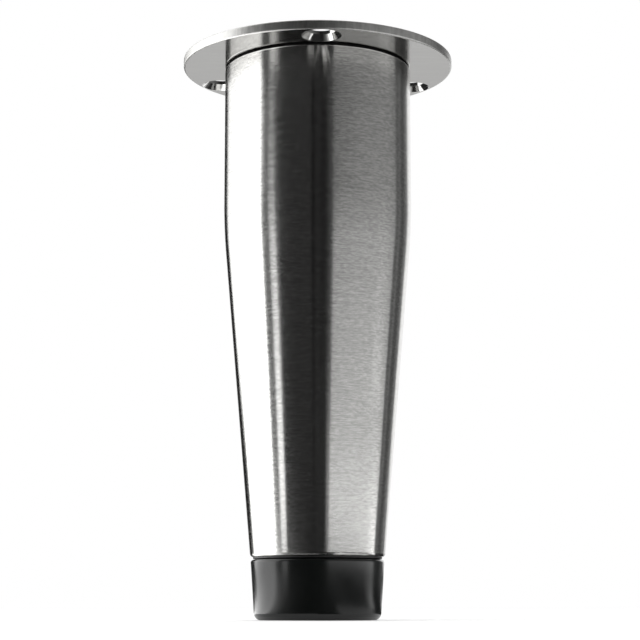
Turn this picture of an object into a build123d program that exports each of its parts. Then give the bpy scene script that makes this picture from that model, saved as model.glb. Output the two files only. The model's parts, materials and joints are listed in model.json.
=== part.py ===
"""Furniture leg: a tapered steel tube under a round screw-on plate, standing on a levelling foot.

Millimetres, +Z up. The origin is the middle of the foot's sole, and the leg's axis is Z.
The foot is drawn screwed right in, which is the leg's lowest setting.
"""

import os
from math import atan, cos, radians, sqrt, tan

from build123d import *

# Whole leg
LEG_HEIGHT = 160.0
LEVELLING_TRAVEL = 10.0

# Mounting plate: a stamped disc with countersunk holes, open side of the countersinks down
PLATE_THICKNESS = 2.6
PLATE_EDGE_CHAMFER = 0.45
PLATE_RIM_MARGIN = 0.5
SCREW_COUNT = 3
FIRST_SCREW_ANGLE = 90.0
SCREW_HOLE_DIAMETER = 7.8
SCREW_HOLE_LAND = 1.0
COUNTERSINK_ANGLE = 90.0
REGISTER_CLEARANCE = 0.15
REGISTER_SHEAR = 0.2

# Leg tube: straight at the top, tapered below, with a stepped upper end and its lower edge rolled inwards
TUBE_TOP_DIAMETER = 53.5
TUBE_BOTTOM_DIAMETER = 37.5
TUBE_STRAIGHT_LENGTH = 46.8
TUBE_WALL = 1.0
TUBE_BEND_RADIUS = 150.0
TUBE_SEAM_HEIGHT = 0.45
TUBE_SEAM_DEPTH = 0.5
TUBE_SHOULDER_CHAMFER = 0.3
ROLL_REACH = 0.8
ROLL_LIP_WIDTH = 1.0

# Levelling stud and its captive nut, with the proportions of a standard hexagon nut
STUD_DIAMETER = 10.0
STUD_SPARE_LENGTH = 4.0
STUD_TIP_CHAMFER = 1.0
STUD_HEAD_DIAMETER = 18.0
STUD_HEAD_THICKNESS = 3.0
THREAD_CLEARANCE = 0.1
NUT_WIDTH_RATIO = 1.7
NUT_HEIGHT_RATIO = 0.8
NUT_CORNER_ANGLE = 30.0
HEXAGON_SIDES = 6

# Tube insert: a moulded plug that snaps in behind the rolled edge and traps the nut
INSERT_FLANGE_THICKNESS = 0.4
INSERT_FLANGE_OVERLAP = 1.0
INSERT_CLEARANCE = 0.1
INSERT_SLEEVE_WALL = 1.8
INSERT_FLOOR = 2.4
INSERT_HUB_WALL = 2.2
INSERT_HUB_ROOF = 3.6
INSERT_RIB_COUNT = 6
INSERT_RIB_THICKNESS = 1.6
INSERT_FIN_COUNT = 2
INSERT_FIN_THICKNESS = 0.9
INSERT_FIN_PITCH = 4.4
NUT_POCKET_CLEARANCE = 0.1
STUD_PASSAGE_CLEARANCE = 0.4

# Foot: a moulded cup with a ribbed inside, held by the stud's head
FOOT_HEIGHT = 16.6
FOOT_INSET = 0.1
FOOT_DRAFT = 3.8
FOOT_SOLE_CHAMFER = 1.3
FOOT_TOP_EDGE_CHAMFER = 0.6
FOOT_WALL = 2.4
FOOT_FLOOR = 3.0
FOOT_BOSS_WALL = 2.2
FOOT_BOSS_RECESS = 1.0
FOOT_RIB_COUNT = 6
FOOT_RIB_THICKNESS = 1.8
FOOT_RUNNING_GAP = 0.25
STUD_HEAD_CLEARANCE = 0.1

# Heights of the stack, from the floor up
insert_underside = FOOT_HEIGHT + FOOT_RUNNING_GAP
tube_bottom = insert_underside + INSERT_FLANGE_THICKNESS
plate_underside = LEG_HEIGHT - PLATE_THICKNESS
tube_bend_height = plate_underside - TUBE_STRAIGHT_LENGTH

# Radii of the tube, which the plate, the insert and the foot share
tube_top_radius = TUBE_TOP_DIAMETER / 2
tube_bottom_radius = TUBE_BOTTOM_DIAMETER / 2
lip_radius = tube_bottom_radius - ROLL_REACH - ROLL_LIP_WIDTH
lip_top = tube_bottom + TUBE_WALL
roll_top = tube_bottom + ROLL_REACH
taper_slope = (tube_top_radius - tube_bottom_radius) / (tube_bend_height - tube_bottom)
wall_across = TUBE_WALL / cos(atan(taper_slope))
bore_bend_height = tube_bend_height + (wall_across - TUBE_WALL) / taper_slope

# Countersinks fill the ring of plate that shows outside the tube
countersink_depth = PLATE_THICKNESS - SCREW_HOLE_LAND
countersink_radius = SCREW_HOLE_DIAMETER / 2 + countersink_depth * tan(radians(COUNTERSINK_ANGLE / 2))
screw_circle_radius = tube_top_radius + PLATE_RIM_MARGIN + countersink_radius
plate_radius = screw_circle_radius + countersink_radius + PLATE_RIM_MARGIN
register_depth = PLATE_THICKNESS / 2
register_radius = tube_top_radius - TUBE_WALL - REGISTER_CLEARANCE

# Nut and stud
stud_radius = STUD_DIAMETER / 2
nut_width = NUT_WIDTH_RATIO * STUD_DIAMETER
nut_height = NUT_HEIGHT_RATIO * STUD_DIAMETER
nut_corner_radius = nut_width / sqrt(3)
nut_bottom = insert_underside + NUT_POCKET_CLEARANCE
nut_top = nut_bottom + nut_height
stud_head_bottom = FOOT_FLOOR
stud_head_top = stud_head_bottom + STUD_HEAD_THICKNESS
stud_tip = nut_top + LEVELLING_TRAVEL + STUD_SPARE_LENGTH

# Foot
foot_top_radius = tube_bottom_radius - FOOT_INSET
foot_bottom_radius = foot_top_radius - FOOT_HEIGHT * tan(radians(FOOT_DRAFT))
foot_boss_radius = STUD_HEAD_DIAMETER / 2 + STUD_HEAD_CLEARANCE + FOOT_BOSS_WALL
foot_boss_top = FOOT_HEIGHT - FOOT_BOSS_RECESS


def tube_radius(height):
    """Radius of the tapered outside of the tube at a height above the floor."""
    return tube_bottom_radius + taper_slope * (height - tube_bottom)


def tube_bore_radius(height):
    """Radius of the tapered bore at a height above the floor."""
    return tube_radius(height) - wall_across


def foot_radius(height):
    """Radius of the foot's drafted side at a height above the floor."""
    return foot_bottom_radius + height * tan(radians(FOOT_DRAFT))


# Mounting plate. The middle is half sheared downwards, and the boss this makes centres the tube.
underside_looking_up = Plane(origin=(0, 0, plate_underside), x_dir=(1, 0, 0), z_dir=(0, 0, -1))

with BuildPart() as mounting_plate:
    with BuildSketch(Plane.XY.offset(plate_underside)):
        Circle(plate_radius)
    extrude(amount=PLATE_THICKNESS)
    chamfer(mounting_plate.edges(), PLATE_EDGE_CHAMFER)
    with BuildSketch(Plane.XY.offset(plate_underside)):
        Circle(register_radius)
    extrude(amount=-register_depth)
    with BuildSketch(Plane.XY.offset(LEG_HEIGHT)):
        Circle(register_radius - REGISTER_SHEAR)
    extrude(amount=-register_depth, mode=Mode.SUBTRACT)
    with Locations(underside_looking_up):
        with PolarLocations(screw_circle_radius, SCREW_COUNT, FIRST_SCREW_ANGLE):
            CounterSinkHole(
                radius=SCREW_HOLE_DIAMETER / 2,
                counter_sink_radius=countersink_radius,
                counter_sink_angle=COUNTERSINK_ANGLE,
            )

# Leg tube. One wall, turned about the axis: straight, bent into the taper, rolled in at the foot.
# A step round its upper end leaves the dark line that shows under the plate.
with BuildPart() as leg_tube:
    with BuildSketch(Plane.XZ):
        with BuildLine():
            outside = FilletPolyline(
                (tube_top_radius, plate_underside),
                (tube_top_radius, tube_bend_height),
                (tube_radius(roll_top), roll_top),
                radius=TUBE_BEND_RADIUS,
            )
            inside = FilletPolyline(
                (tube_bore_radius(lip_top), lip_top),
                (tube_top_radius - TUBE_WALL, bore_bend_height),
                (tube_top_radius - TUBE_WALL, plate_underside),
                radius=TUBE_BEND_RADIUS - TUBE_WALL,
            )
            Polyline(
                outside @ 1,
                (tube_bottom_radius - ROLL_REACH, tube_bottom),
                (lip_radius, tube_bottom),
                (lip_radius, lip_top),
                inside @ 0,
            )
            Line(inside @ 1, outside @ 0)
        make_face()
    revolve(axis=Axis.Z)
    with BuildSketch(Plane.XY.offset(plate_underside)):
        Circle(plate_radius)
        Circle(tube_top_radius - TUBE_SEAM_DEPTH, mode=Mode.SUBTRACT)
    extrude(amount=-TUBE_SEAM_HEIGHT, mode=Mode.SUBTRACT)
    shoulder_edges = leg_tube.edges().filter_by(GeomType.CIRCLE).group_by(Axis.Z)[-2]
    chamfer(shoulder_edges.sort_by(SortBy.RADIUS)[-1], TUBE_SHOULDER_CHAMFER)

# Tube insert. The flange carries the tube's rolled edge, and the fins grip the bore above it.
sleeve_radius = lip_radius - INSERT_CLEARANCE
pocket_top = nut_top + NUT_POCKET_CLEARANCE
hub_radius = nut_corner_radius + NUT_POCKET_CLEARANCE + INSERT_HUB_WALL
hub_top = pocket_top + INSERT_HUB_ROOF
first_fin = lip_top + INSERT_CLEARANCE
fin_heights = [first_fin + step * INSERT_FIN_PITCH for step in range(INSERT_FIN_COUNT)]

with BuildPart() as tube_insert:
    with BuildSketch(Plane.XY.offset(insert_underside)):
        Circle(lip_radius + INSERT_FLANGE_OVERLAP)
    extrude(amount=INSERT_FLANGE_THICKNESS)
    with BuildSketch(Plane.XY.offset(insert_underside)):
        Circle(sleeve_radius)
    extrude(amount=hub_top - insert_underside)
    for fin_height in fin_heights:
        with BuildSketch(Plane.XY.offset(fin_height)):
            Circle(tube_bore_radius(fin_height) - INSERT_CLEARANCE)
        extrude(amount=INSERT_FIN_THICKNESS)
    with BuildSketch(Plane.XY.offset(insert_underside + INSERT_FLOOR)):
        Circle(sleeve_radius - INSERT_SLEEVE_WALL)
    extrude(amount=hub_top - insert_underside - INSERT_FLOOR, mode=Mode.SUBTRACT)
    with BuildSketch(Plane.XY.offset(insert_underside)):
        Circle(hub_radius)
    extrude(amount=hub_top - insert_underside)
    with BuildSketch(Plane.XY.offset(insert_underside)):
        with PolarLocations((hub_radius + sleeve_radius - INSERT_SLEEVE_WALL) / 2, INSERT_RIB_COUNT):
            Rectangle(sleeve_radius - hub_radius, INSERT_RIB_THICKNESS)
    extrude(amount=hub_top - insert_underside)
    with BuildSketch(Plane.XY.offset(insert_underside)):
        RegularPolygon(nut_width / 2 + NUT_POCKET_CLEARANCE, HEXAGON_SIDES, major_radius=False)
    extrude(amount=pocket_top - insert_underside, mode=Mode.SUBTRACT)
    with BuildSketch(Plane.XY.offset(insert_underside)):
        Circle(stud_radius + STUD_PASSAGE_CLEARANCE)
    extrude(amount=hub_top - insert_underside, mode=Mode.SUBTRACT)

# Captive nut. Both faces are turned off at the corners, as on a standard nut.
corner_drop = (nut_corner_radius - nut_width / 2) * tan(radians(NUT_CORNER_ANGLE))

with BuildPart() as captive_nut:
    with BuildSketch(Plane.XY.offset(nut_bottom)):
        RegularPolygon(nut_width / 2, HEXAGON_SIDES, major_radius=False)
        Circle(stud_radius + THREAD_CLEARANCE, mode=Mode.SUBTRACT)
    extrude(amount=nut_height)
    with BuildSketch(Plane.XZ):
        Polygon(
            (0, nut_bottom),
            (nut_width / 2, nut_bottom),
            (nut_corner_radius, nut_bottom + corner_drop),
            (nut_corner_radius, nut_top - corner_drop),
            (nut_width / 2, nut_top),
            (0, nut_top),
            align=None,
        )
    revolve(axis=Axis.Z, mode=Mode.INTERSECT)

# Levelling stud. Its round head is held inside the foot, and its shank runs up through the nut.
with BuildPart() as levelling_stud:
    with BuildSketch(Plane.XY.offset(stud_head_bottom)):
        Circle(STUD_HEAD_DIAMETER / 2)
    extrude(amount=STUD_HEAD_THICKNESS)
    with BuildSketch(Plane.XY.offset(stud_head_top)):
        Circle(stud_radius)
    extrude(amount=stud_tip - stud_head_top)
    chamfer(levelling_stud.edges().group_by(Axis.Z)[-1], STUD_TIP_CHAMFER)

# Foot. A drafted cup: flat sole, broken edges, a boss round the stud's head and ribs out to the wall.
with BuildPart() as foot:
    with BuildSketch(Plane.XZ):
        Polygon(
            (0, 0),
            (foot_bottom_radius, 0),
            (foot_top_radius, FOOT_HEIGHT),
            (0, FOOT_HEIGHT),
            align=None,
        )
    revolve(axis=Axis.Z)
    chamfer(foot.edges().group_by(Axis.Z)[0], FOOT_SOLE_CHAMFER)
    chamfer(foot.edges().group_by(Axis.Z)[-1], FOOT_TOP_EDGE_CHAMFER)
    with BuildSketch(Plane.XZ):
        Polygon(
            (0, foot_boss_top),
            (foot_boss_radius, foot_boss_top),
            (foot_boss_radius, FOOT_FLOOR),
            (foot_radius(FOOT_FLOOR) - FOOT_WALL, FOOT_FLOOR),
            (foot_radius(FOOT_HEIGHT) - FOOT_WALL, FOOT_HEIGHT),
            (0, FOOT_HEIGHT),
            align=None,
        )
    revolve(axis=Axis.Z, mode=Mode.SUBTRACT)
    with BuildSketch(Plane.XY.offset(FOOT_FLOOR)):
        with PolarLocations((foot_boss_radius + foot_radius(FOOT_FLOOR) - FOOT_WALL) / 2, FOOT_RIB_COUNT):
            Rectangle(foot_radius(FOOT_FLOOR) - foot_boss_radius, FOOT_RIB_THICKNESS)
    extrude(amount=foot_boss_top - FOOT_FLOOR)
    with BuildSketch(Plane.XY.offset(stud_head_bottom - STUD_HEAD_CLEARANCE)):
        Circle(STUD_HEAD_DIAMETER / 2 + STUD_HEAD_CLEARANCE)
    extrude(amount=STUD_HEAD_THICKNESS + 2 * STUD_HEAD_CLEARANCE, mode=Mode.SUBTRACT)
    with BuildSketch(Plane.XY.offset(stud_head_top)):
        Circle(stud_radius + STUD_HEAD_CLEARANCE)
    extrude(amount=foot_boss_top - stud_head_top, mode=Mode.SUBTRACT)

os.makedirs("parts", exist_ok=True)

mounting_plate.part.label = "mounting_plate"
export_step(mounting_plate.part, "parts/mounting_plate.step")
leg_tube.part.label = "leg_tube"
export_step(leg_tube.part, "parts/leg_tube.step")
tube_insert.part.label = "tube_insert"
export_step(tube_insert.part, "parts/tube_insert.step")
captive_nut.part.label = "captive_nut"
export_step(captive_nut.part, "parts/captive_nut.step")
levelling_stud.part.label = "levelling_stud"
export_step(levelling_stud.part, "parts/levelling_stud.step")
foot.part.label = "foot"
export_step(foot.part, "parts/foot.step")

print("plate diameter", round(2 * plate_radius, 2))
print("screw circle diameter", round(2 * screw_circle_radius, 2))
print("countersink diameter", round(2 * countersink_radius, 2))
print("foot bottom diameter", round(2 * foot_bottom_radius, 2))
print("stud tip height", round(stud_tip, 2))
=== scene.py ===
# %% [markdown]
# # A brushed steel furniture leg
# The leg is a steel tube under a round screw plate, standing on a black levelling foot. The solid model
# is loaded first as a fixed frame. It says which pieces move and gives the main sizes, and this lesson
# then models each visible piece again in finer detail, in the same place, and gives it its finish.

# %% Load the frame
import json
from math import atan, cos, pi, radians, tan

import bmesh
import bpy
from mathutils import Matrix, Vector


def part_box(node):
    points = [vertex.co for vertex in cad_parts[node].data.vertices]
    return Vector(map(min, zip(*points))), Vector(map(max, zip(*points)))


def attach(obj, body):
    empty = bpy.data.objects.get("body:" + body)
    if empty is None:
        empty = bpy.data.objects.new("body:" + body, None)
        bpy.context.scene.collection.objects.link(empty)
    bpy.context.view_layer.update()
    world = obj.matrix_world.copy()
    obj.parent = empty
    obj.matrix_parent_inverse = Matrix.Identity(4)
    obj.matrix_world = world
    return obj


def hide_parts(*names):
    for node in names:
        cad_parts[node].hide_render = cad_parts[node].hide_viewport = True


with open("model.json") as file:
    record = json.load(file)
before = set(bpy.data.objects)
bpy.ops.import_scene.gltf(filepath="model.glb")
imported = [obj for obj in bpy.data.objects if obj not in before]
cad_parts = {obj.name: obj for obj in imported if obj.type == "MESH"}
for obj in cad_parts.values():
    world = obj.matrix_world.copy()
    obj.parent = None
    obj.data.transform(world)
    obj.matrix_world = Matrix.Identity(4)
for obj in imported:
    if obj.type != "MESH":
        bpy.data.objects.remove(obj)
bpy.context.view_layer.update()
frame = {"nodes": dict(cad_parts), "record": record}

# %% [markdown]
# ## Camera
# The picture is taken from the floor, looking up a little, so the plate's underside shows as a thin
# ellipse and the foot is seen almost level. A long lens keeps the tube's sides calm. The leg stands very
# slightly turned, so its front screw hole is off the middle; here the camera walks round it by that angle
# instead, because the solids stay where they are. The camera comes first, because every later choice is
# judged through it.

# %% Camera
CAMERA_DISTANCE = 0.5091
CAMERA_HEIGHT = 0.0035
CAMERA_ASIDE = 0.00068
CAMERA_TILT_UP = 9
CAMERA_TURN = -1.85
LENS = 102.1
SENSOR_WIDTH = 36
NEAREST_SEEN = 0.01

walk_round = Matrix.Rotation(radians(CAMERA_TURN), 3, "Z")
bpy.ops.object.camera_add(
    location=walk_round @ Vector((CAMERA_ASIDE, -CAMERA_DISTANCE, CAMERA_HEIGHT)),
    rotation=(radians(90 + CAMERA_TILT_UP), 0, radians(CAMERA_TURN)),
)
camera = bpy.context.object
camera.name = "leg_camera"
camera.data.lens = LENS
camera.data.sensor_width = SENSOR_WIDTH
camera.data.clip_start = NEAREST_SEEN
bpy.context.scene.camera = camera
bpy.context.scene.view_settings.view_transform = "Standard"
print("camera at", [round(v, 4) for v in camera.location], "lens", LENS)

# %% [markdown]
# ## Drawing a section
# Tube, plate, foot and stud are all round about the leg's axis, so each can be made as on a lathe: draw
# half of its section, round its corners, and spin it once round. A ring of circles scaled one by one
# would also do, but a section shows the whole form as one short list of corners. The pencil is a single
# vertex, extruded from corner to corner.

# %% Draw a section
MM = 0.001


def section_point(corner):
    """A corner of a half section, given as (radius, height) in mm, as a point in metres."""
    radius, height = corner
    return Vector((radius * MM, 0, height * MM))


def start_from_one_point(name, place):
    """A small plane, merged to one vertex, is the pencil that draws a section."""
    bpy.ops.object.select_all(action="DESELECT")
    bpy.ops.mesh.primitive_plane_add(size=MM)
    piece = bpy.context.object
    piece.name = piece.data.name = name
    bpy.ops.object.mode_set(mode="EDIT")
    bpy.ops.mesh.merge(type="CENTER")
    bpy.ops.transform.translate(value=place)
    return piece


def pick_corners(piece, corners):
    """Selects the section's vertices at these corners and nothing else."""
    bpy.ops.mesh.select_all(action="DESELECT")
    section = bmesh.from_edit_mesh(piece.data)
    for corner in corners:
        place = section_point(corner)
        min(section.verts, key=lambda vert: (vert.co - place).length).select = True
    section.select_flush_mode()
    bmesh.update_edit_mesh(piece.data)


def draw_section(name, corners, closed=True):
    """Extrudes the pencil from corner to corner of a half section."""
    points = [section_point(corner) for corner in corners]
    piece = start_from_one_point(name, points[0])
    for here, there in zip(points, points[1:]):
        bpy.ops.mesh.extrude_region_move(TRANSFORM_OT_translate={"value": there - here})
    if closed:
        pick_corners(piece, [corners[0], corners[-1]])
        bpy.ops.mesh.edge_face_add()
    return piece


# %% [markdown]
# ## Rounding a section
# No real edge is quite sharp, and a rounded one catches the light. A vertex bevel cuts back along both
# lines by an offset, so for a true radius that offset follows from the angle between them. A bevel on the
# finished solid would do as well, but here each corner takes its own radius. Long straight runs are then
# divided, so that the soft shading of a rounded corner can't creep along them.

# %% Round the corners
LONGEST_RUN = 4 * MM


def round_corner(piece, corner, radius, segments):
    """Rounds one corner of the section to a true radius in mm with a vertex bevel."""
    pick_corners(piece, [corner])
    section = bmesh.from_edit_mesh(piece.data)
    vert = next(vert for vert in section.verts if vert.select)
    before, after = [edge.other_vert(vert).co - vert.co for edge in vert.link_edges]
    turn = pi - before.angle(after)
    bpy.ops.mesh.bevel(
        offset=radius * MM * tan(turn / 2), offset_type="OFFSET", affect="VERTICES", segments=segments
    )


def divide_long_runs(piece):
    """Halves the section's long edges until none is longer than the limit."""
    while True:
        bpy.ops.mesh.select_all(action="DESELECT")
        section = bmesh.from_edit_mesh(piece.data)
        long_edges = [edge for edge in section.edges if edge.calc_length() > LONGEST_RUN]
        for edge in long_edges:
            edge.select_set(True)
        bmesh.update_edit_mesh(piece.data)
        if not long_edges:
            return
        bpy.ops.mesh.subdivide(number_cuts=1)


# %% [markdown]
# ## Spinning and shading
# Spinning leaves a seam where the last step meets the first, so what lies on the same spot is merged and
# the faces are turned outwards. Smooth shading by itself would bend the look of a flat face that ends in
# a small rounding. Weighted normals let the large faces win there, so a flat plate mirrors straight.

# %% Spin and shade helpers
SPIN_STEPS = 192
SAME_SPOT = 0.005 * MM
SHARP_ANGLE = 30


def pick_piece(piece):
    """Makes a piece the only one selected, and the active one."""
    bpy.ops.object.select_all(action="DESELECT")
    bpy.context.view_layer.objects.active = piece
    piece.select_set(True)


def close_up():
    """Merges what lies on the same spot, points every face outwards and leaves edit mode."""
    bpy.ops.mesh.select_all(action="SELECT")
    bpy.ops.mesh.remove_doubles(threshold=SAME_SPOT)
    bpy.ops.mesh.normals_make_consistent(inside=False)
    bpy.ops.object.mode_set(mode="OBJECT")


def spin_section(steps=SPIN_STEPS, angle=2 * pi):
    """Spins the section in edit mode about the leg's axis and closes it up."""
    bpy.ops.mesh.select_all(action="SELECT")
    bpy.ops.mesh.spin(steps=steps, angle=angle, center=(0, 0, 0), axis=(0, 0, 1))
    close_up()


def smooth(piece):
    """Shades the piece smooth, except across sharp edges, and keeps its large faces true."""
    pick_piece(piece)
    bpy.ops.object.shade_smooth_by_angle(angle=radians(SHARP_ANGLE))
    true_faces = piece.modifiers.new("true_faces", "WEIGHTED_NORMAL")
    true_faces.keep_sharp = True
    bpy.ops.object.modifier_apply(modifier=true_faces.name)
    print(piece.name, len(piece.data.vertices), "vertices", len(piece.data.polygons), "faces")


def belongs(piece, body, node):
    """The piece moves with a body and stands for a solid, whose own mesh is hidden."""
    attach(piece, body)
    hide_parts(node)


# %% [markdown]
# ## Sizes from the solids
# A modelled piece has to fit the solid that it stands for. All sizes could be typed in, but the main ones
# are read from the boxes of the solids, so that the two can't disagree.

# %% Sizes from the solids


def lowest(node):
    """The height of a solid's lowest point, in mm."""
    return round(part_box(node)[0].z / MM, 2)


def highest(node):
    """The height of a solid's highest point, in mm."""
    return round(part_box(node)[1].z / MM, 2)


def widest(node):
    """How far a solid reaches out from the leg's axis, in mm."""
    return round(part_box(node)[1].x / MM, 2)


for node in sorted(frame["nodes"]):
    print(node, "from", lowest(node), "to", highest(node), "mm up and", widest(node), "mm out")

# %% [markdown]
# ## Leg tube
# The real tube is spun from sheet: straight for its upper third, then a soft bend into a long taper, and
# its lower edge is rolled inwards round the plug. Its upper end is stepped, which leaves a fine shadow
# line under the plate. A Solidify modifier could thicken a single wall, but not this step and this edge,
# so one closed section holds the outer and the inner wall.

# %% Leg tube
TUBE_BOTTOM = lowest("leg_tube")
PLATE_UNDERSIDE = highest("leg_tube")
TUBE_TOP_RADIUS = widest("leg_tube")
TUBE_BEND = 110.6
TUBE_BOTTOM_RADIUS = 18.75
TUBE_WALL = 1.0
BEND_RADIUS = 150
ROLL_RADIUS = 1.1
LIP_RADIUS = 16.95
NECK_RADIUS = 26.25
SHOULDER = 156.95
SHOULDER_EDGE = 0.4

taper_angle = atan((TUBE_TOP_RADIUS - TUBE_BOTTOM_RADIUS) / (TUBE_BEND - TUBE_BOTTOM))
wall_across = TUBE_WALL / cos(taper_angle)
inner_radius = TUBE_TOP_RADIUS - TUBE_WALL
inner_floor = TUBE_BOTTOM + TUBE_WALL
inner_bottom_radius = TUBE_BOTTOM_RADIUS + TUBE_WALL * tan(taper_angle) - wall_across

shoulder_corner = (TUBE_TOP_RADIUS, SHOULDER)
outer_bend_corner = (TUBE_TOP_RADIUS, TUBE_BEND)
rolled_corner = (TUBE_BOTTOM_RADIUS, TUBE_BOTTOM)
inner_bend_corner = (inner_radius, TUBE_BEND + TUBE_WALL * tan(taper_angle / 2))
tube_corners = [
    (NECK_RADIUS, PLATE_UNDERSIDE),
    (NECK_RADIUS, SHOULDER),
    shoulder_corner,
    outer_bend_corner,
    rolled_corner,
    (LIP_RADIUS, TUBE_BOTTOM),
    (LIP_RADIUS, inner_floor),
    (inner_bottom_radius, inner_floor),
    inner_bend_corner,
    (inner_radius, PLATE_UNDERSIDE),
]
leg_tube = draw_section("leg_tube_brushed", tube_corners)
round_corner(leg_tube, shoulder_corner, SHOULDER_EDGE, segments=5)
round_corner(leg_tube, outer_bend_corner, BEND_RADIUS, segments=12)
round_corner(leg_tube, rolled_corner, ROLL_RADIUS, segments=10)
round_corner(leg_tube, inner_bend_corner, BEND_RADIUS - TUBE_WALL, segments=6)
divide_long_runs(leg_tube)
spin_section()
smooth(leg_tube)
belongs(leg_tube, "leg", "leg_tube")

# %% [markdown]
# ## Drilling and repeating
# Holes and pockets are cut with boolean tools, as a drill or a core pin would make them. A tool that is
# needed several times is made once and copied round the axis. A cut leaves tiny edges where it crosses
# the mesh, so the result is merged again, which keeps the shell closed.

# %% Tool helpers
OVERSHOOT = 1.0


def copy_round(tool, count):
    """Repeats a tool's whole mesh evenly about the leg's axis."""
    pick_piece(tool)
    bpy.ops.object.mode_set(mode="EDIT")
    bpy.ops.mesh.select_all(action="SELECT")
    last_angle = 2 * pi * (count - 1) / count
    bpy.ops.mesh.spin(steps=count - 1, angle=last_angle, dupli=True, center=(0, 0, 0), axis=(0, 0, 1))
    bpy.ops.object.mode_set(mode="OBJECT")


def cut_or_join(piece, tool, operation):
    """Cuts a tool out of a piece, keeps their common part or joins them, and puts the tool away."""
    pick_piece(piece)
    boolean = piece.modifiers.new(operation.lower(), "BOOLEAN")
    boolean.object = tool
    boolean.operation = operation
    boolean.solver = "EXACT"
    bpy.ops.object.modifier_apply(modifier=boolean.name)
    bpy.data.objects.remove(tool)
    bpy.ops.object.mode_set(mode="EDIT")
    close_up()


# %% [markdown]
# ## Mounting plate
# The plate is a stamped disc. Its middle is half sheared downwards, which leaves a shallow round recess
# on top and a boss below that centres the tube. A bevelled cylinder would do for the rim alone, but one
# turned section gives the rim, the recess and the boss together.

# %% Mounting plate
PLATE_TOP = highest("mounting_plate")
PLATE_RADIUS = widest("mounting_plate")
PLATE_EDGE = 0.45
BOSS_RADIUS = 25.6
RECESS_RADIUS = 25.4
SHEAR_DEPTH = 1.3
RECESS_EDGE = 0.2

lower_rim_corner = (PLATE_RADIUS, PLATE_UNDERSIDE)
upper_rim_corner = (PLATE_RADIUS, PLATE_TOP)
recess_mouth_corner = (RECESS_RADIUS, PLATE_TOP)
recess_floor_corner = (RECESS_RADIUS, PLATE_TOP - SHEAR_DEPTH)
plate_corners = [
    (0, PLATE_UNDERSIDE - SHEAR_DEPTH),
    (BOSS_RADIUS, PLATE_UNDERSIDE - SHEAR_DEPTH),
    (BOSS_RADIUS, PLATE_UNDERSIDE),
    lower_rim_corner,
    upper_rim_corner,
    recess_mouth_corner,
    recess_floor_corner,
    (0, PLATE_TOP - SHEAR_DEPTH),
]
plate = draw_section("mounting_plate_satin", plate_corners, closed=False)
round_corner(plate, lower_rim_corner, PLATE_EDGE, segments=4)
round_corner(plate, upper_rim_corner, PLATE_EDGE, segments=4)
round_corner(plate, recess_mouth_corner, RECESS_EDGE, segments=3)
round_corner(plate, recess_floor_corner, RECESS_EDGE, segments=3)
spin_section()
print(plate.name, "turned,", 2 * PLATE_RADIUS, "mm across")

# %% [markdown]
# ## Screw holes
# Three countersunk holes take the screws from below. Their circle and width come from the mount that the
# solid model states. Cylinder and cone could be cut one after the other, but a drill that is turned with
# the whole profile makes the bore, the cone and the fine break at its mouth in one cut.

# %% Screw holes
DRILL_STEPS = 72
COUNTERSINK_RADIUS = 5.5
COUNTERSINK_DEPTH = 1.6
MOUTH_BREAK = 0.1

mounts = {mount["name"]: mount["dims"] for mount in frame["record"]["mounts"]}
SCREW_HOLES = mounts["plate_screws"]["count"]
SCREW_HOLE_RADIUS = mounts["plate_screws"]["hole_r_mm"]
SCREW_CIRCLE_RADIUS = mounts["plate_screws"]["pcd_mm"] / 2

drill_corners = [
    (0, PLATE_UNDERSIDE - OVERSHOOT),
    (COUNTERSINK_RADIUS + MOUTH_BREAK, PLATE_UNDERSIDE - OVERSHOOT),
    (COUNTERSINK_RADIUS + MOUTH_BREAK, PLATE_UNDERSIDE),
    (COUNTERSINK_RADIUS - MOUTH_BREAK, PLATE_UNDERSIDE + MOUTH_BREAK),
    (SCREW_HOLE_RADIUS, PLATE_UNDERSIDE + COUNTERSINK_DEPTH),
    (SCREW_HOLE_RADIUS, PLATE_TOP + OVERSHOOT),
    (0, PLATE_TOP + OVERSHOOT),
]
drill = draw_section("countersink_drill", drill_corners, closed=False)
spin_section(steps=DRILL_STEPS)
bpy.ops.object.mode_set(mode="EDIT")
bpy.ops.mesh.select_all(action="SELECT")
bpy.ops.transform.translate(value=(0, -SCREW_CIRCLE_RADIUS * MM, 0))
bpy.ops.object.mode_set(mode="OBJECT")
copy_round(drill, SCREW_HOLES)
cut_or_join(plate, drill, "DIFFERENCE")
smooth(plate)
belongs(plate, "leg", "mounting_plate")

# %% [markdown]
# ## Foot
# The foot is moulded from black plastic: a drafted cup with a rounded sole edge, a fine radius round its
# top and, inside, a boss that holds the stud's head. A cone would do for the outside, but the boss shows
# when the foot is screwed out, so both are turned together, as one section.

# %% Foot
FOOT_TOP = highest("foot")
FOOT_BOTTOM_RADIUS = 17.55
FOOT_TOP_RADIUS = 18.65
SOLE_EDGE = 2.0
FOOT_TOP_EDGE = 0.8
FOOT_WALL = 2.4
BOSS_TOP = 15.6
STUD_RADIUS = 5.0
HEAD_RADIUS = widest("levelling_stud")
HEAD_BOTTOM = lowest("levelling_stud")
HEAD_TOP = 6.0
SEAT_CLEARANCE = 0.1

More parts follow.
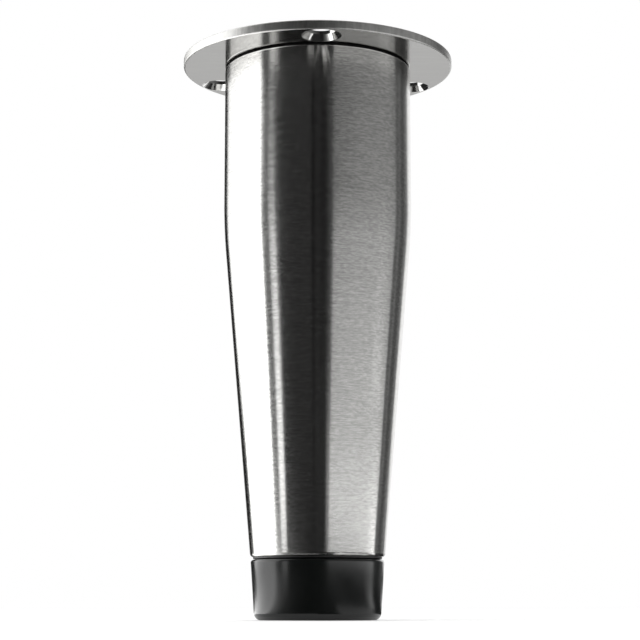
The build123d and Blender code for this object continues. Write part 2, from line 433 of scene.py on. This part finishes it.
foot_wall_radius = FOOT_TOP_RADIUS - FOOT_WALL
bore_radius = STUD_RADIUS + SEAT_CLEARANCE
seat_radius = HEAD_RADIUS + SEAT_CLEARANCE
seat_top = HEAD_TOP + SEAT_CLEARANCE
seat_bottom = HEAD_BOTTOM - SEAT_CLEARANCE
sole_corner = (FOOT_BOTTOM_RADIUS, 0)
outer_top_corner = (FOOT_TOP_RADIUS, FOOT_TOP)
inner_top_corner = (foot_wall_radius, FOOT_TOP)
foot_corners = [
    (0, 0),
    sole_corner,
    outer_top_corner,
    inner_top_corner,
    (foot_wall_radius, BOSS_TOP),
    (bore_radius, BOSS_TOP),
    (bore_radius, seat_top),
    (seat_radius, seat_top),
    (seat_radius, seat_bottom),
    (0, seat_bottom),
]
foot = draw_section("foot_moulded", foot_corners, closed=False)
round_corner(foot, sole_corner, SOLE_EDGE, segments=10)
round_corner(foot, outer_top_corner, FOOT_TOP_EDGE, segments=5)
round_corner(foot, inner_top_corner, FOOT_TOP_EDGE / 2, segments=3)
divide_long_runs(foot)
spin_section()
print(foot.name, "turned,", FOOT_TOP, "mm high")

# %% [markdown]
# ## Ribs in the foot
# A moulding has walls of one thickness, so the room between boss and wall is hollow and six ribs tie the
# two together. Ribs could be joined on one by one, but here they are what is left when six pockets are
# cut, which leaves no seams.

# %% Foot ribs
FOOT_FLOOR = 3.0
FOOT_BOSS_RADIUS = 11.3
FOOT_RIBS = 6
RIB_ANGLE = 8
POCKET_EDGE = 1.0
POCKET_STEPS = 24

pocket_radius = foot_wall_radius - FOOT_TOP_EDGE
pocket_corners = [
    (FOOT_BOSS_RADIUS, FOOT_FLOOR),
    (pocket_radius, FOOT_FLOOR),
    (pocket_radius, FOOT_TOP + OVERSHOOT),
    (FOOT_BOSS_RADIUS, FOOT_TOP + OVERSHOOT),
]
pockets = draw_section("foot_pockets", pocket_corners)
for floor_corner in pocket_corners[:2]:
    round_corner(pockets, floor_corner, POCKET_EDGE, segments=4)
bpy.ops.mesh.select_all(action="SELECT")
bpy.ops.mesh.edge_face_add()
spin_section(steps=POCKET_STEPS, angle=radians(360 / FOOT_RIBS - RIB_ANGLE))
copy_round(pockets, FOOT_RIBS)
cut_or_join(foot, pockets, "DIFFERENCE")
smooth(foot)
belongs(foot, "foot", "foot")

# %% [markdown]
# ## Levelling stud
# When the foot is screwed out, the stud shows between foot and tube, so its thread is modelled. Rings
# would look alike from afar, but close by a thread is seen to climb. A single notch is drawn as a section
# one pitch high, and the Screw modifier winds it up the stud. The pitch is what the solid model's foot
# travels in one turn. A plane then cuts each end flat.

# %% Wind the thread
THREAD_PITCH = round(2 * pi * frame["record"]["behaviour"]["couplings"][0]["ratio"] / MM, 3)
THREAD_DEPTH = 0.92
THREAD_CREST = 0.19
THREAD_ROOT = 0.38
THREAD_STEPS = 48
SPARE_TURNS = 3
STUD_TIP = highest("levelling_stud")

thread_start = HEAD_TOP - 2 * THREAD_PITCH
flank = (THREAD_PITCH - THREAD_CREST - THREAD_ROOT) / 2
root_radius = STUD_RADIUS - THREAD_DEPTH
thread_corners = [
    (root_radius, thread_start),
    (root_radius, thread_start + THREAD_ROOT),
    (STUD_RADIUS, thread_start + THREAD_ROOT + flank),
    (STUD_RADIUS, thread_start + THREAD_ROOT + flank + THREAD_CREST),
    (root_radius, thread_start + THREAD_PITCH),
]
stud = draw_section("levelling_stud_threaded", thread_corners, closed=False)
bpy.ops.object.mode_set(mode="OBJECT")
winding = stud.modifiers.new("winding", "SCREW")
winding.axis = "Z"
winding.screw_offset = THREAD_PITCH * MM
winding.iterations = int((STUD_TIP - thread_start) / THREAD_PITCH) + SPARE_TURNS
winding.steps = winding.render_steps = THREAD_STEPS
bpy.ops.object.modifier_apply(modifier=winding.name)
bpy.ops.object.mode_set(mode="EDIT")
bpy.ops.mesh.select_all(action="SELECT")
bpy.ops.mesh.remove_doubles(threshold=SAME_SPOT)
for height, inward in ((HEAD_TOP - OVERSHOOT, 1), (STUD_TIP + OVERSHOOT, -1)):
    bpy.ops.mesh.select_all(action="SELECT")
    bpy.ops.mesh.bisect(
        plane_co=(0, 0, height * MM), plane_no=(0, 0, inward), use_fill=True, clear_inner=True
    )
close_up()
print("thread of", THREAD_PITCH, "mm pitch,", len(stud.data.vertices), "vertices")

# %% [markdown]
# ## Tip and head of the stud
# A bar is turned before its thread is cut, so the thread fades out in the chamfer at the tip. A turned
# blank keeps only the part of the wound thread that such a bar would have. Then the round head is joined
# on, with its two edges rounded.

# %% Turn the blank and the head
TIP_CHAMFER = 1.0
HEAD_EDGE = 0.4
STUD_STEPS = 96

blank_bottom = HEAD_TOP - 2 * OVERSHOOT
blank_corners = [
    (0, blank_bottom),
    (STUD_RADIUS + OVERSHOOT, blank_bottom),
    (STUD_RADIUS + OVERSHOOT, STUD_TIP - TIP_CHAMFER - OVERSHOOT),
    (STUD_RADIUS - TIP_CHAMFER, STUD_TIP),
    (0, STUD_TIP),
]
blank = draw_section("stud_blank", blank_corners, closed=False)
spin_section(steps=STUD_STEPS)
cut_or_join(stud, blank, "INTERSECT")

head_edges = [(HEAD_RADIUS, HEAD_BOTTOM), (HEAD_RADIUS, HEAD_TOP)]
head = draw_section("stud_head", [(0, HEAD_BOTTOM), *head_edges, (0, HEAD_TOP)], closed=False)
for head_edge in head_edges:
    round_corner(head, head_edge, HEAD_EDGE, segments=4)
spin_section(steps=STUD_STEPS)
cut_or_join(stud, head, "UNION")
smooth(stud)
belongs(stud, "stud", "levelling_stud")

# %% [markdown]
# ## Finishes: noise
# Every finish is built from nodes that read the piece's own place in metres, so a pattern has a true size
# and stays put when the piece moves. Noise that is squeezed in one direction gives scratches or grain,
# and even noise gives clouds and wear. These helpers only save typing.

# %% Noise helpers
NOISE_ROUGHNESS = 0.55


def set_sockets(node, **values):
    """Sets sockets by their names, with spaces as underscores."""
    for name, value in values.items():
        node.inputs[name.replace("_", " ")].default_value = value


def new_finish(name, **values):
    """A material with one Principled shader and its constant values. Gives its tree as well."""
    finish = bpy.data.materials.new(name)
    finish.use_nodes = True
    shader = finish.node_tree.nodes["Principled BSDF"]
    set_sockets(shader, **values)
    return finish, finish.node_tree, shader


def math_node(tree, operation):
    """A node for one sum."""
    node = tree.nodes.new("ShaderNodeMath")
    node.operation = operation
    return node


def streaks(tree, scale, detail):
    """Noise that is pulled out by scaling the object's own coordinates."""
    place = tree.nodes.new("ShaderNodeTexCoord")
    pull = tree.nodes.new("ShaderNodeMapping")
    set_sockets(pull, Scale=scale)
    noise = tree.nodes.new("ShaderNodeTexNoise")
    set_sockets(noise, Scale=1.0, Detail=detail, Roughness=NOISE_ROUGHNESS)
    tree.links.new(place.outputs["Object"], pull.inputs["Vector"])
    tree.links.new(pull.outputs["Vector"], noise.inputs["Vector"])
    return noise.outputs["Fac"]


# %% [markdown]
# ## Finishes: what the noise moves
# A noise reads mostly between 0.3 and 0.7. Spread over another range, it moves the tone between two
# colours, the roughness between two values, or the normal, as fine relief. A value that is the same all
# over needs none of this and is set on the shader's socket.

# %% Tone, roughness and relief
NOISE_READS = (0.3, 0.7)
RELIEF_DEPTH = 0.01 * MM


def spread_to(tree, source, low, high, reads=NOISE_READS):
    """Spreads what a source reads, such as a noise, over a range of values."""
    spread = tree.nodes.new("ShaderNodeMapRange")
    set_sockets(spread, From_Min=reads[0], From_Max=reads[1], To_Min=low, To_Max=high)
    tree.links.new(source, spread.inputs["Value"])
    return spread.outputs["Result"]


def two_tones(tree, shader, share, dark, light):
    """The shader's colour, between two tones. A Mix node's colours are inputs 6 and 7 and output 2."""
    tones = tree.nodes.new("ShaderNodeMix")
    tones.data_type = "RGBA"
    tones.inputs[6].default_value = (*dark, 1)
    tones.inputs[7].default_value = (*light, 1)
    tree.links.new(share, tones.inputs[0])
    tree.links.new(tones.outputs[2], shader.inputs["Base Color"])


def relief(tree, shader, height, strength):
    """Fine relief on the shader's normal."""
    bump = tree.nodes.new("ShaderNodeBump")
    set_sockets(bump, Strength=strength, Distance=RELIEF_DEPTH)
    tree.links.new(height, bump.inputs["Height"])
    tree.links.new(bump.outputs["Normal"], shader.inputs["Normal"])


# %% [markdown]
# ## Finishes: one noise, or other faces
# Most finishes need a single noise, which moves the tone and the roughness together. Where some faces of a
# piece were worked in another way, they get a finish of their own, picked by where they lie.

# %% Finish helpers


def patterned(name, scale, detail, dark, light, rough=None, **values):
    """A finish whose tone, and roughness where a range is given, follow one noise."""
    finish, tree, shader = new_finish(name, **values)
    pattern = streaks(tree, scale, detail)
    two_tones(tree, shader, spread_to(tree, pattern, 0, 1), dark, light)
    if rough:
        tree.links.new(spread_to(tree, pattern, *rough), shader.inputs["Roughness"])
    print("finish", name)
    return finish


def finish_faces(piece, finish, picked):
    """Gives a further finish to the faces whose middle, in mm, is picked."""
    piece.data.materials.append(finish)
    faces = [face for face in piece.data.polygons if picked(face.center / MM)]
    for face in faces:
        face.material_index = len(piece.data.materials) - 1
    print("finish", finish.name, "on", len(faces), "faces of", piece.name)


def grey(level):
    """A colour socket's value for a plain grey."""
    return (level, level, level, 1)


# %% [markdown]
# ## Brushed steel of the tube
# The tube is brushed while it turns, so its scratches run round it. They spread a reflection up and down
# and leave it sharp from side to side, which is why a brushed tube shows clean upright bands. Fine relief
# alone could spread it, but would look noisy; anisotropy, turned a quarter, does it cleanly. Two layers of
# streaks, longer and shorter round the tube and very thin in height, bring out the single scratches.

# %% Tube steel
LONG_SCRATCHES = (190, 190, 2300)
SHORT_SCRATCHES = (760, 760, 2900)
LONG_SHARE = 0.45
QUARTER_TURN = 0.25

tube_steel, tree, shader = new_finish(
    "tube_steel_brushed",
    Metallic=1,
    Anisotropic=0.96,
    Anisotropic_Rotation=QUARTER_TURN,
    Specular_Tint=grey(0.6),
)
long_ones = spread_to(tree, streaks(tree, LONG_SCRATCHES, 1), 0, LONG_SHARE)
short_ones = spread_to(tree, streaks(tree, SHORT_SCRATCHES, 0), 0, 1 - LONG_SHARE)
both = math_node(tree, "ADD")
tree.links.new(long_ones, both.inputs[0])
tree.links.new(short_ones, both.inputs[1])
scratches = both.outputs["Value"]
two_tones(tree, shader, scratches, dark=(0.48, 0.478, 0.467), light=(0.68, 0.677, 0.662))
tree.links.new(spread_to(tree, scratches, 0.205, 0.245, reads=(0, 1)), shader.inputs["Roughness"])
relief(tree, shader, scratches, strength=0.02)
leg_tube.data.materials.append(tube_steel)
print("finish", tube_steel.name)

# %% [markdown]
# ## Upper end of the tube
# The step under the plate is painted near-black as the shade in the slit, and the rounded edge above the
# brushed part is painted bright as a highlight. Painting these with a mask would blur at the edge; whole
# faces keep the line clean.

# %% Painted shade on the step and painted highlight on the edge
IN_PLANE = 0.01

# The step's near-black colour is painted shade in the slit under the plate.
step_painted_shade = patterned(
    "step_steel_painted_shade",
    scale=(900, 900, 900),
    detail=3,
    dark=(0.004, 0.004, 0.004),
    light=(0.01, 0.01, 0.01),
    Roughness=0.8,
    Specular_IOR_Level=0.1,
)
# The rounded edge's light colour is a painted highlight under the dark step.
edge_painted_highlight = patterned(
    "edge_steel_painted_highlight",
    scale=(400, 400, 400),
    detail=2,
    dark=(0.85, 0.847, 0.835),
    light=(0.93, 0.927, 0.915),
    rough=(0.16, 0.22),
    Metallic=1,
)
edge_radius = TUBE_TOP_RADIUS - SHOULDER_EDGE


def on_the_step(middle):
    """True on the neck and on the flat of the shoulder."""
    return middle.z > SHOULDER - IN_PLANE and middle.xy.length < edge_radius


def on_the_edge(middle):
    """True on the shoulder's rounded edge."""
    return middle.z > SHOULDER - SHOULDER_EDGE and middle.xy.length > edge_radius


finish_faces(leg_tube, step_painted_shade, on_the_step)
finish_faces(leg_tube, edge_painted_highlight, on_the_edge)

# %% [markdown]
# ## Satin steel of the plate
# The plate is cut from bright sheet with a faint straight grain. The press sheared its rim, which left a
# duller face with short upright marks, and the drill left the countersinks bright. One mixed finish
# could hold all three, but three plain ones on their own faces are easier to tune.

# %% Plate steel
plate_steel = patterned(
    "plate_steel_satin",
    scale=(60, 1500, 1500),
    detail=2,
    dark=(0.47, 0.467, 0.458),
    light=(0.52, 0.517, 0.507),
    rough=(0.09, 0.13),
    Metallic=1,
    Specular_Tint=grey(0.57),
)
rim_steel = patterned(
    "rim_steel_sheared",
    scale=(1400, 1400, 260),
    detail=2,
    dark=(0.5, 0.498, 0.487),
    light=(0.62, 0.617, 0.602),
    rough=(0.38, 0.46),
    Metallic=1,
    Anisotropic=0.5,
    Anisotropic_Rotation=QUARTER_TURN,
    Specular_Tint=grey(0.6),
)
drilled_steel = patterned(
    "drilled_steel_bright",
    scale=(300, 300, 3000),
    detail=2,
    dark=(0.46, 0.458, 0.45),
    light=(0.56, 0.557, 0.547),
    rough=(0.07, 0.12),
    Metallic=1,
)

# %% Faces of the plate
screw_places = [
    Matrix.Rotation(2 * pi * step / SCREW_HOLES, 2) @ Vector((0, -SCREW_CIRCLE_RADIUS))
    for step in range(SCREW_HOLES)
]


def on_the_rim(middle):
    """True on the plate's outer face and its two rounded edges."""
    return middle.xy.length > PLATE_RADIUS - PLATE_EDGE


def in_a_screw_hole(middle):
    """True between the plate's two faces and within a countersink's reach of a hole's axis."""
    if not PLATE_UNDERSIDE + IN_PLANE < middle.z < PLATE_TOP - IN_PLANE:
        return False
    nearest = min((middle.xy - place).length for place in screw_places)
    return nearest < COUNTERSINK_RADIUS + 2 * MOUTH_BREAK


plate.data.materials.append(plate_steel)
finish_faces(plate, rim_steel, on_the_rim)
finish_faces(plate, drilled_steel, in_a_screw_hole)

# %% [markdown]
# ## Zinc of the stud and the nut
# Plated fasteners are bluish and a little blotchy, with a soft shine, so an even noise moves tone and
# roughness together. The nut is hidden in the leg, so its solid stays as it is and only takes the finish.

# %% Fastener zinc


def dress_solid(node, finish):
    """Gives a solid that stays as it is another finish."""
    solid = frame["nodes"][node]
    solid.data.materials.clear()
    solid.data.materials.append(finish)


fastener_zinc = patterned(
    "fastener_zinc",
    scale=(420, 420, 420),
    detail=4,
    dark=(0.5, 0.52, 0.54),
    light=(0.62, 0.635, 0.64),
    rough=(0.22, 0.38),
    Metallic=1,
)
stud.data.materials.append(fastener_zinc)
dress_solid("captive_nut", fastener_zinc)

# %% [markdown]
# ## Moulded plastics
# The foot is deep black with a fine moulded grain, which softens its shine a little. The grain is too
# fine to model, so it is relief in the finish. The plug in the tube is the same kind of plastic, duller,
# and its solid stays as well.

# %% Plastics
MOULD_GRAIN = (5200, 5200, 5200)

foot_plastic = patterned(
    "foot_plastic_satin",
    scale=(130, 130, 130),
    detail=2,
    dark=(0.0028, 0.0034, 0.0032),
    light=(0.0042, 0.005, 0.0047),
    rough=(0.16, 0.2),
    Specular_IOR_Level=0.4,
)
tree = foot_plastic.node_tree
relief(tree, tree.nodes["Principled BSDF"], streaks(tree, MOULD_GRAIN, 3), strength=0.12)
foot.data.materials.append(foot_plastic)

insert_plastic = patterned(
    "insert_plastic_matte",
    scale=(260, 260, 260),
    detail=3,
    dark=(0.007, 0.007, 0.007),
    light=(0.013, 0.013, 0.013),
    rough=(0.5, 0.62),
)
dress_solid("tube_insert", insert_plastic)

# %% [markdown]
# ## Studio: world
# The room is plain white. The camera, metal and glass see white at strength 1, and the light that falls on
# the leg comes from the same sky at a plain level, so a colour renders about as it is written.

# %% World
SKY_LEVEL = 1.0
WHITE = (1, 1, 1, 1)

world = bpy.data.worlds.new("white_room")
bpy.context.scene.world = world
world.use_nodes = True
tree = world.node_tree
tree.nodes.clear()
path = tree.nodes.new("ShaderNodeLightPath")
seen = math_node(tree, "MAXIMUM")
seen_or_through = math_node(tree, "MAXIMUM")
tree.links.new(path.outputs["Is Camera Ray"], seen.inputs[0])
tree.links.new(path.outputs["Is Glossy Ray"], seen.inputs[1])
tree.links.new(seen.outputs["Value"], seen_or_through.inputs[0])
tree.links.new(path.outputs["Is Transmission Ray"], seen_or_through.inputs[1])
lighting = tree.nodes.new("ShaderNodeBackground")
set_sockets(lighting, Color=WHITE, Strength=SKY_LEVEL)
showing = tree.nodes.new("ShaderNodeBackground")
set_sockets(showing, Color=WHITE, Strength=1)
choice = tree.nodes.new("ShaderNodeMixShader")
result = tree.nodes.new("ShaderNodeOutputWorld")
tree.links.new(seen_or_through.outputs["Value"], choice.inputs["Fac"])
tree.links.new(lighting.outputs["Background"], choice.inputs[1])
tree.links.new(showing.outputs["Background"], choice.inputs[2])
tree.links.new(choice.outputs["Shader"], result.inputs["Surface"])
print("world", world.name, "at", SKY_LEVEL)

# %% [markdown]
# ## Studio: floor
# The floor is a pale sheet that takes the leg's soft shadow. When the foot is screwed out, the real leg
# rises from the floor; here the leg stays and the floor goes down with the stud, so that the foot always
# stands on it.

# %% Floor
FLOOR_SIZE = 6

bpy.ops.object.select_all(action="DESELECT")
bpy.ops.mesh.primitive_plane_add(size=FLOOR_SIZE)
floor = bpy.context.object
floor.name = "floor"
floor_paper, _, _ = new_finish(
    "floor_paper",
    Base_Color=grey(0.95),
    Roughness=0.9,
    Specular_IOR_Level=0.1,
    Emission_Color=WHITE,
    Emission_Strength=0.12,
)
floor.data.materials.append(floor_paper)
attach(floor, "stud")
print("floor", FLOOR_SIZE, "m")

# %% [markdown]
# ## Studio: light of a card
# Polished metal shows what stands round it, so a product picture of a steel tube is really a picture of
# cards. A card here simply glows, and its light runs through a few levels over its height, its distance
# from the leg or its azimuth, as if lamps were aimed at parts of it.

# %% Glow of a card
CARD_RADIUS = 0.42


def measured_place(tree, place, parts, measure):
    """The height of a card's point, its distance from the leg's axis or its azimuth on the card."""
    if measure == "radius":
        flat = tree.nodes.new("ShaderNodeVectorMath")
        flat.operation = "LENGTH"
        tree.links.new(place.outputs["Object"], flat.inputs[0])
        return flat.outputs["Value"]
    if measure == "azimuth":
        turned = math_node(tree, "ARCTAN2")
        tree.links.new(parts.outputs["Y"], turned.inputs[0])
        tree.links.new(parts.outputs["X"], turned.inputs[1])
        return turned.outputs["Value"]
    return parts.outputs["Z"]


def glow(name, measure, levels, rise):
    """A glowing finish. Levels are (measure, level) pairs, and the light may rise sideways as well."""
    finish = bpy.data.materials.new(name)
    finish.use_nodes = True
    tree = finish.node_tree
    tree.nodes.clear()
    place = tree.nodes.new("ShaderNodeTexCoord")
    parts = tree.nodes.new("ShaderNodeSeparateXYZ")
    tree.links.new(place.outputs["Object"], parts.inputs["Vector"])
    measured = measured_place(tree, place, parts, measure)
    total = math_node(tree, "MULTIPLY_ADD")
    total.inputs[1].default_value = rise / CARD_RADIUS
    total.inputs[2].default_value = levels[0][1]
    tree.links.new(parts.outputs["Y"], total.inputs[0])
    for (here, level), (there, next_level) in zip(levels, levels[1:]):
        step = spread_to(tree, measured, 0, next_level - level, reads=(here, there))
        summed = math_node(tree, "ADD")
        tree.links.new(total.outputs["Value"], summed.inputs[0])
        tree.links.new(step, summed.inputs[1])
        total = summed
    light = tree.nodes.new("ShaderNodeEmission")
    set_sockets(light, Color=WHITE)
    tree.links.new(total.outputs["Value"], light.inputs["Strength"])
    out = tree.nodes.new("ShaderNodeOutputMaterial")
    tree.links.new(light.outputs["Emission"], out.inputs["Surface"])
    return finish


# %% [markdown]
# ## Studio: a card
# Each card is a line spun part of the way round the leg. Flat planes would do as well, but they meet in
# corners, and the tube would mirror those. Only reflections see a card: it casts no shadow and doesn't
# light the floor.

# %% Spin a card
CARD_STEPS = 48


def glowing_arc(name, start, end, line, measure, levels, rise=0.0):
    """A line of (radius, height) in metres, spun between two azimuths and given its light.

    Azimuths are in degrees from the camera's side, positive to the right.
    """
    piece = draw_section(name, [(radius / MM, height / MM) for radius, height in line], closed=False)
    bpy.ops.mesh.select_all(action="SELECT")
    bpy.ops.mesh.spin(steps=CARD_STEPS, angle=radians(start - end), center=(0, 0, 0), axis=(0, 0, 1))
    bpy.ops.object.mode_set(mode="OBJECT")
    piece.rotation_euler.z = radians(start - 90 + CAMERA_TURN)
    if measure == "azimuth":
        levels = [(radians(azimuth - start), level) for azimuth, level in levels]
    piece.data.materials.append(glow(name, measure, levels, rise))
    piece.visible_camera = False
    piece.visible_diffuse = False
    piece.visible_shadow = False
    return piece


# %% [markdown]
# ## Studio: kinds of cards
# Most cards stand upright. The taper makes the lower tube and the foot look down, so they mirror sheets
# that lie on the floor, and these ride on the stud and go down with the floor. A low card stands in front
# of the others where only one part of the leg looks at its height.

# %% Kinds of cards
CARD_HIGH = 1.4
SHEET_LIFT = 0.001
LOW_CARD_RADIUS = 0.41


def card(name, start, end, levels, rise=0.0):
    """An upright card, with its light given over the height."""
    line = [(CARD_RADIUS, SHEET_LIFT), (CARD_RADIUS, CARD_HIGH)]
    glowing_arc(name, start, end, line, "height", levels, rise)


def low_card(name, start, end, levels, top, bottom=SHEET_LIFT, radius=LOW_CARD_RADIUS):
    """A card in front of the others, with its light given over the height."""
    glowing_arc(name, start, end, [(radius, bottom), (radius, top)], "height", levels)


def banded_card(name, levels):
    """An upright card, with its light given over the azimuth."""
    line = [(CARD_RADIUS, SHEET_LIFT), (CARD_RADIUS, CARD_HIGH)]
    glowing_arc(name, levels[0][0], levels[-1][0], line, "azimuth", levels)


def sheet(name, start, end, levels, inner):
    """A sheet on the floor, with its light given over the distance from the leg's axis."""
    line = [(inner, SHEET_LIFT), (CARD_RADIUS, SHEET_LIFT)]
    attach(glowing_arc(name, start, end, line, "radius", levels), "stud")


def banded_sheet(name, levels, inner, outer=CARD_RADIUS):
    """A sheet on the floor, with its light given over the azimuth."""
    line = [(inner, SHEET_LIFT), (outer, SHEET_LIFT)]
    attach(glowing_arc(name, levels[0][0], levels[-1][0], line, "azimuth", levels), "stud")


def even(level):
    """The same light everywhere."""
    return [(0, level), (1, level)]


# %% [markdown]
# ## Cards on the left
# A dark card far round to the left draws the tube's outline. Beside it stands the bright softbox that makes
# the wide white band, then a narrow dark gap, and a bright stripe that fades upwards.

# %% Cards on the left
NEAR = 0.15

card("dark_card_left", -165, -143, even(0.03))
low_card("dark_card_left_low", -145, -135.5, even(0.03), top=0.085)
sheet("dark_sheet_left", -165, -129, even(0.03), NEAR)
card("softbox_left", -143, -70.5, [(0.08, 3.2), (0.2, 2.2)])
banded_sheet("softbox_sheet_left", [(-129, 2.2), (-100, 2.2), (-85, 3.2), (-73.8, 3.2)], NEAR)
card("grey_gap_left", -70.5, -60.3, [(0, 0.1), (0.28, 0.03)])
low_card("grey_gap_left_low", -61, -58.8, even(0.1), top=0.06)
sheet("grey_sheet_left", -73.8, -60, even(0.1), NEAR)
card("stripe_left", -60.3, -51.5, [(0, 1.65), (0.126, 0.74), (0.28, 0.1)])
sheet("stripe_sheet_left", -60, -50, [(0.15, 3), (0.2, 3.1)], NEAR)
print("left cards stand", CARD_RADIUS, "m from the leg")

# %% [markdown]
# ## Black flag in front
# The deep dark band down the middle of the tube is a black flag beside the camera. A fold in it shows as a
# fine darker line, and its right edge catches a little light, which softens the step to the grey card.

# %% Black flag
NEAR_RIGHT = 0.14

low_card("black_flag_upper_edge", -54, -51, even(0.03), top=CARD_HIGH, bottom=0.215)
card("black_flag_left", -51.5, -7, even(0.038))
card("black_flag_fold", -7, -3.5, even(0.006))
card("black_flag_middle", -3.5, 3.5, even(0.026))
card("black_flag_right", 3.5, 12, even(0.014))
card("black_flag_edge", 12, 18.5, even(0.05))
banded_sheet("black_sheet_left", [(-50, 0), (-35, 0.004), (-20, 0.024), (-4, 0.045)], NEAR)
sheet("black_sheet_core", -4, 17.5, even(0.06), NEAR_RIGHT)
print("black flag from -54 to 18.5 degrees")

# %% [markdown]
# ## Cards on the right
# The grey card on the right is lit from the floor, so the tube's right side pales downwards. Its low end
# is a separate raised card close to the leg, under which the foot looks through to a dimmer floor. Dark
# and bright cards far round to the right draw the tube's right outline.

# %% Cards on the right
RAISED_RADIUS = 0.12
RAISED_BOTTOM = 0.009
RAISED_TOP = 0.05

grey_levels = [
    (0.035, 1),
    (0.055, 0.5),
    (0.09, 0.38),
    (0.15, 0.32),
    (0.21, 0.14),
    (0.26, 0.05),
    (0.31, 0.04),
    (0.36, 0.14),
]
raised_levels = [(RAISED_BOTTOM, 3.8), (0.014, 2.7), (0.022, 1.08), (0.032, 0.93), (RAISED_TOP, 0.98)]
edge_levels = [(RAISED_BOTTOM, 1.6), (0.014, 0.8), (0.022, 0.4), (RAISED_TOP, 0.3)]
outline_levels = [(108, 0.14), (113, 0.11), (117, 0.26), (122, 0.1), (130, 0.12), (143, 0.45)]
card("grey_card_right", 18.5, 108, grey_levels, rise=0.17)
sheet("floor_sheet_right", 17.5, 111, [(0.15, 0.15), (0.2, 0.9), (0.26, 1.3), (0.36, 1.1)], NEAR_RIGHT)
low_card("raised_card_right", 16.7, 103, raised_levels, RAISED_TOP, RAISED_BOTTOM, RAISED_RADIUS)
low_card("raised_card_edge", 12.5, 16.7, edge_levels, RAISED_TOP, RAISED_BOTTOM, RAISED_RADIUS)
low_card("bright_card_right_low", 80, 98, even(2.2), top=0.035)
banded_card("dark_card_right", outline_levels)
sheet("dark_sheet_right", 111, 148, [(0.15, 0.03), (0.25, 0.2)], NEAR_RIGHT)
card("edge_card_right", 143, 165, even(1.9))
low_card("dark_card_right_low", 142, 149, even(0.15), top=0.05)
low_card("foot_edge_card_right", 149, 165, even(0.05), top=0.014)
print("raised card stands", RAISED_RADIUS, "m from the leg")

# %% [markdown]
# ## Sheets that the foot mirrors
# Black plastic mirrors only a small share of the light, so it needs bright sheets close by to show its
# round form: a broad glow on its left side and a narrow one near its right edge. The rounded edge of the
# sole mirrors a sheet just in front of it.

# %% Sheets round the foot
FOOT_SHEET_LEFT_INNER = 0.022
FOOT_SHEET_RIGHT_INNER = 0.04
SOLE_SHEET_INNER = 0.02

foot_levels_left = [
    (-170, 0.02),
    (-144, 0.02),
    (-142, 2.3),
    (-121, 3.4),
    (-85, 3.2),
    (-72, 4.4),
    (-69, 1.7),
    (-48, 0.3),
    (-30, 0.1),
    (-12, 0.02),
    (0, 0.02),
]
foot_levels_right = [
    (0, 0.02),
    (22, 0.03),
    (82, 0.03),
    (90, 0.9),
    (96, 1.9),
    (103, 1.9),
    (105, 0.03),
    (160, 0.04),
]
sole_levels = [(0, 0.02), (22, 0.02), (28, 0.9), (86, 0.9), (90, 0.06), (160, 0.06)]
banded_sheet("foot_sheet_left", foot_levels_left, FOOT_SHEET_LEFT_INNER, NEAR)
banded_sheet("foot_sheet_right", foot_levels_right, FOOT_SHEET_RIGHT_INNER, NEAR_RIGHT)
banded_sheet("sole_sheet_right", sole_levels, SOLE_SHEET_INNER, FOOT_SHEET_RIGHT_INNER)
print("foot sheets reach to", NEAR, "m")

# %% [markdown]
# ## Studio: lamp
# One large soft lamp hangs over the leg and gives the floor its faint shadow. The steel doesn't mirror it.

# %% Lamp
LAMP_PLACE = Vector((-0.5, -0.5, 1.2))
LAMP_AIM = Vector((0, 0, 0.05))
LAMP_SIZE = 0.8
LAMP_POWER = 2.0

bpy.ops.object.light_add(type="AREA", location=LAMP_PLACE)
lamp = bpy.context.object
lamp.name = "overhead_lamp"
lamp.data.shape = "RECTANGLE"
lamp.data.size = lamp.data.size_y = LAMP_SIZE
lamp.data.energy = LAMP_POWER
lamp.visible_glossy = False
lamp.rotation_euler = (LAMP_AIM - LAMP_PLACE).to_track_quat("-Z", "Y").to_euler()
print("lamp", LAMP_POWER, "W")
